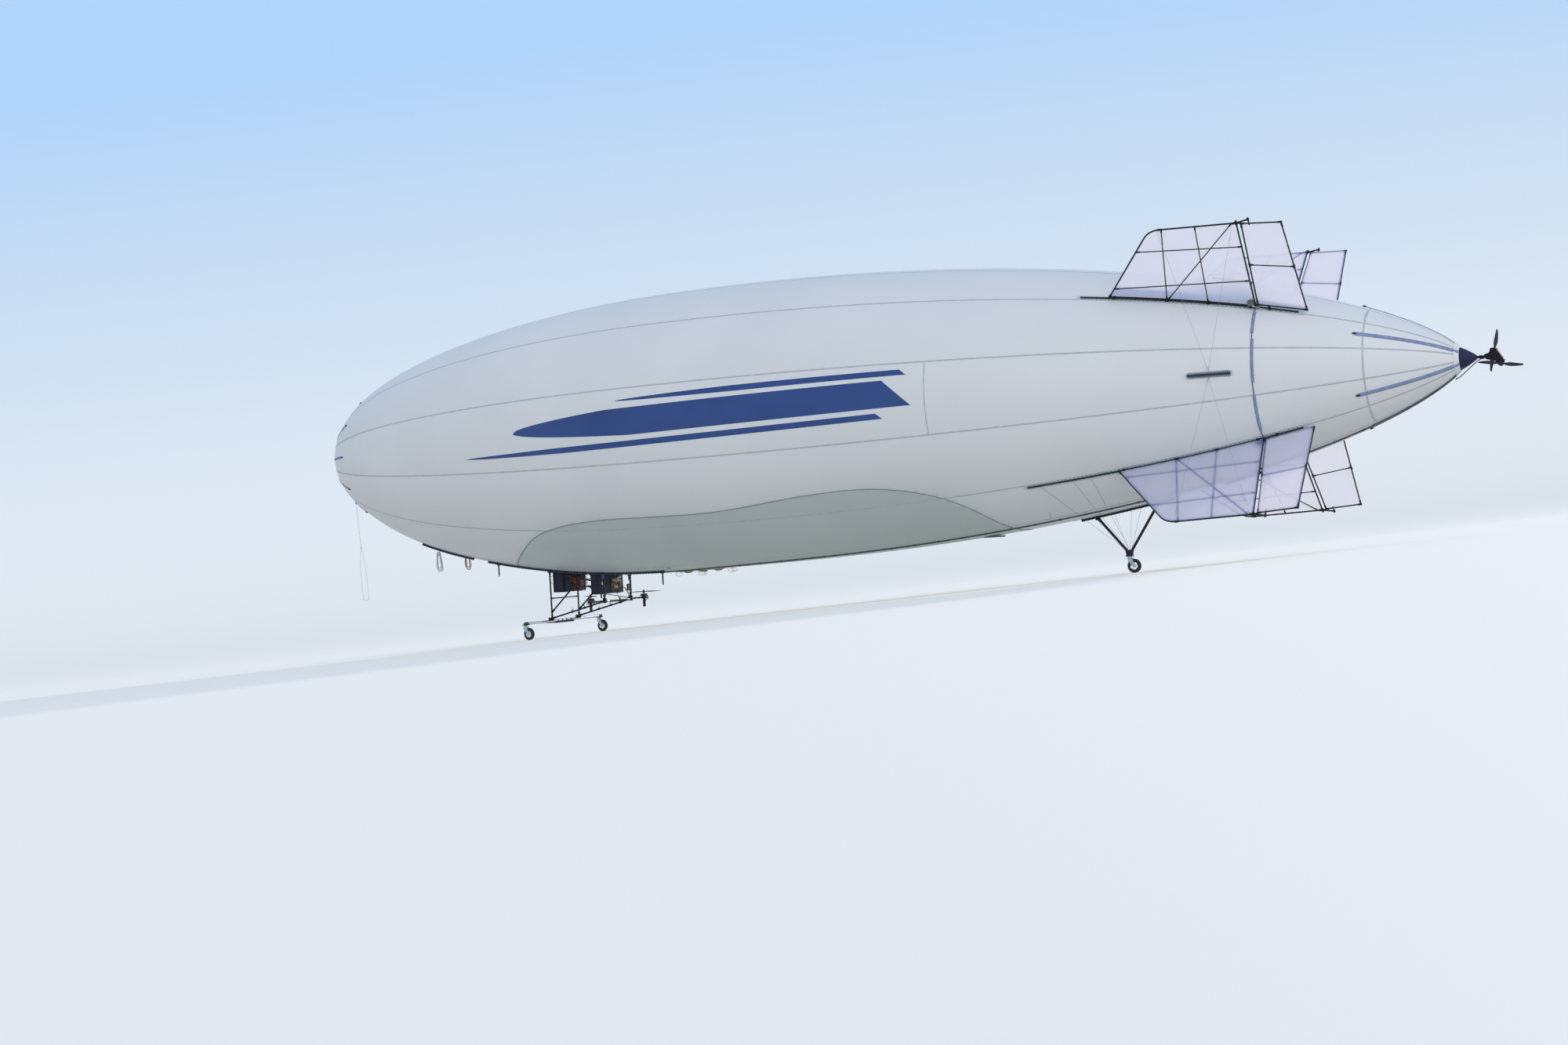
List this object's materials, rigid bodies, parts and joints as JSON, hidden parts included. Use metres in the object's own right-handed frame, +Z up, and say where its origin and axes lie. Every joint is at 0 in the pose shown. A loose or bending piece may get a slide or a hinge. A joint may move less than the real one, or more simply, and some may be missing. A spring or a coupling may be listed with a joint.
{
  "type": "small crewless airship",
  "caption": "Small crewless airship with a cigar-shaped gas envelope, X tail with rudders, tubed gondola, tilting motors and three casters.",
  "frame": {"origin": "floor under the middle of the box of the parked airship, ropes left out", "axes": "+X to the nose, +Y to port, +Z up; the hull axis stands 3.7 degrees nose up"},
  "size_m": [15.9994, 3.552, 4.276],
  "materials": {
    "envelope": "coated white envelope film, satin",
    "tail_cone": "dark navy moulding, satin",
    "batten": "blue-grey webbing sleeve",
    "carbon_tube": "black carbon fibre tube",
    "fin_cloth": "thin translucent white cloth",
    "alloy_tube": "bare drawn tube",
    "zinc_steel": "bright zinc plate",
    "tyre": "black rubber tread",
    "wheel_rim": "light grey moulded rim",
    "valve": "olive moulding",
    "equipment_case": "dark navy case",
    "motor": "black anodised",
    "propeller": "black carbon blade",
    "black_plastic": "black moulded",
    "rope": "braided cord"
  },
  "bodies": {
    "airship": {"tail_cone": "tail_cone", "tail_battens": "batten", "nose_battens": "batten", "cable_sleeve_port": "batten", "cable_sleeve_starboard": "batten", "keel_rail_port": "carbon_tube", "bow_rail_port": "carbon_tube", "keel_rail_starboard": "carbon_tube", "bow_rail_starboard": "carbon_tube", "tail_gear_rail": "carbon_tube", "belly_conduit": "black_plastic", "belly_valves": "valve", "envelope": "envelope", "fin_frame_upper_port": "carbon_tube", "fin_skin_upper_port": "fin_cloth", "fin_frame_upper_starboard": "carbon_tube", "fin_skin_upper_starboard": "fin_cloth", "fin_frame_lower_port": "carbon_tube", "fin_skin_lower_port": "fin_cloth", "fin_frame_lower_starboard": "carbon_tube", "fin_skin_lower_starboard": "fin_cloth", "stay_rod_port": "carbon_tube", "stay_rod_starboard": "carbon_tube", "stay_rod_top": "carbon_tube", "stay_rod_bottom": "carbon_tube", "caster_crossbar": "alloy_tube", "tail_gear_struts": "carbon_tube", "gondola_frame": "carbon_tube", "gondola_tray": "black_plastic", "equipment_box_front": "equipment_case", "equipment_box_rear": "equipment_case", "thruster_frame": "carbon_tube", "nose_line": "rope", "rope_hank_port": "rope", "rope_hank_starboard": "rope"},
    "caster_front_port": {"caster_fork_front_port": "zinc_steel"},
    "wheel_front_port": {"rim_front_port": "wheel_rim", "tyre_front_port": "tyre"},
    "caster_front_starboard": {"caster_fork_front_starboard": "zinc_steel"},
    "wheel_front_starboard": {"rim_front_starboard": "wheel_rim", "tyre_front_starboard": "tyre"},
    "caster_tail": {"caster_fork_tail": "zinc_steel"},
    "wheel_tail": {"rim_tail": "wheel_rim", "tyre_tail": "tyre"},
    "rudder_upper_port": {"rudder_frame_upper_port": "carbon_tube", "rudder_skin_upper_port": "fin_cloth"},
    "rudder_upper_starboard": {"rudder_frame_upper_starboard": "carbon_tube", "rudder_skin_upper_starboard": "fin_cloth"},
    "rudder_lower_port": {"rudder_frame_lower_port": "carbon_tube", "rudder_skin_lower_port": "fin_cloth"},
    "rudder_lower_starboard": {"rudder_frame_lower_starboard": "carbon_tube", "rudder_skin_lower_starboard": "fin_cloth"},
    "thrust_axle": {"thrust_axle": "carbon_tube", "motor_port": "motor", "motor_starboard": "motor"},
    "propeller_port": {"propeller_port": "propeller"},
    "propeller_starboard": {"propeller_starboard": "propeller"},
    "thruster_propeller_upper": {"thruster_propeller_upper": "propeller"},
    "thruster_propeller_lower": {"thruster_propeller_lower": "propeller"}
  },
  "joints": [
    {"name": "caster_front_port_swivel", "type": "hinge", "parent": "airship", "child": "caster_front_port", "pos_m": [4.4886, 0.834, 0.08], "axis": [0, 0, 1], "continuous": true},
    {"name": "wheel_front_port_roll", "type": "hinge", "parent": "caster_front_port", "child": "wheel_front_port", "pos_m": [4.4486, 0.834, 0.08], "axis": [0, 1, 0], "continuous": true},
    {"name": "caster_front_starboard_swivel", "type": "hinge", "parent": "airship", "child": "caster_front_starboard", "pos_m": [4.4886, -0.834, 0.08], "axis": [0, 0, 1], "continuous": true},
    {"name": "wheel_front_starboard_roll", "type": "hinge", "parent": "caster_front_starboard", "child": "wheel_front_starboard", "pos_m": [4.4486, -0.834, 0.08], "axis": [0, 1, 0], "continuous": true},
    {"name": "caster_tail_swivel", "type": "hinge", "parent": "airship", "child": "caster_tail", "pos_m": [-3.54956, 0, 0.08], "axis": [0, 0, 1], "continuous": true},
    {"name": "wheel_tail_roll", "type": "hinge", "parent": "caster_tail", "child": "wheel_tail", "pos_m": [-3.58956, 0, 0.08], "axis": [0, 1, 0], "continuous": true},
    {"name": "rudder_upper_port_turn", "type": "hinge", "parent": "airship", "child": "rudder_upper_port", "pos_m": [-5.64389, 0.6634, 2.65128], "axis": [-0.09, 0.694, 0.7143], "range_deg": [-30, 30]},
    {"name": "rudder_upper_starboard_turn", "type": "hinge", "parent": "airship", "child": "rudder_upper_starboard", "pos_m": [-5.64389, -0.6634, 2.65128], "axis": [-0.09, -0.694, 0.7143], "range_deg": [-30, 30]},
    {"name": "rudder_lower_port_turn", "type": "hinge", "parent": "airship", "child": "rudder_lower_port", "pos_m": [-5.55415, 0.6634, 1.28028], "axis": [0.0039, 0.694, -0.72], "range_deg": [-30, 30]},
    {"name": "rudder_lower_starboard_turn", "type": "hinge", "parent": "airship", "child": "rudder_lower_starboard", "pos_m": [-5.55415, -0.6634, 1.28028], "axis": [0.0039, -0.694, -0.72], "range_deg": [-30, 30]},
    {"name": "thrust_axle_tilt", "type": "hinge", "parent": "airship", "child": "thrust_axle", "pos_m": [3.56608, 0, 0.39603], "axis": [0, 1, 0], "range_deg": [-95, 95]},
    {"name": "propeller_port_spin", "type": "hinge", "parent": "thrust_axle", "child": "propeller_port", "pos_m": [3.56094, 0.62, 0.47447], "axis": [-0.0653, 0, 0.9979], "continuous": true},
    {"name": "propeller_starboard_spin", "type": "hinge", "parent": "thrust_axle", "child": "propeller_starboard", "pos_m": [3.56094, -0.62, 0.47447], "axis": [-0.0653, 0, 0.9979], "continuous": true},
    {"name": "thruster_propeller_upper_spin", "type": "hinge", "parent": "airship", "child": "thruster_propeller_upper", "pos_m": [-7.71629, -0.0633, 1.88532], "axis": [0, 1, 0], "continuous": true},
    {"name": "thruster_propeller_lower_spin", "type": "hinge", "parent": "airship", "child": "thruster_propeller_lower", "pos_m": [-7.78445, 0.0633, 1.73255], "axis": [0, 1, 0], "continuous": true}
  ]
}
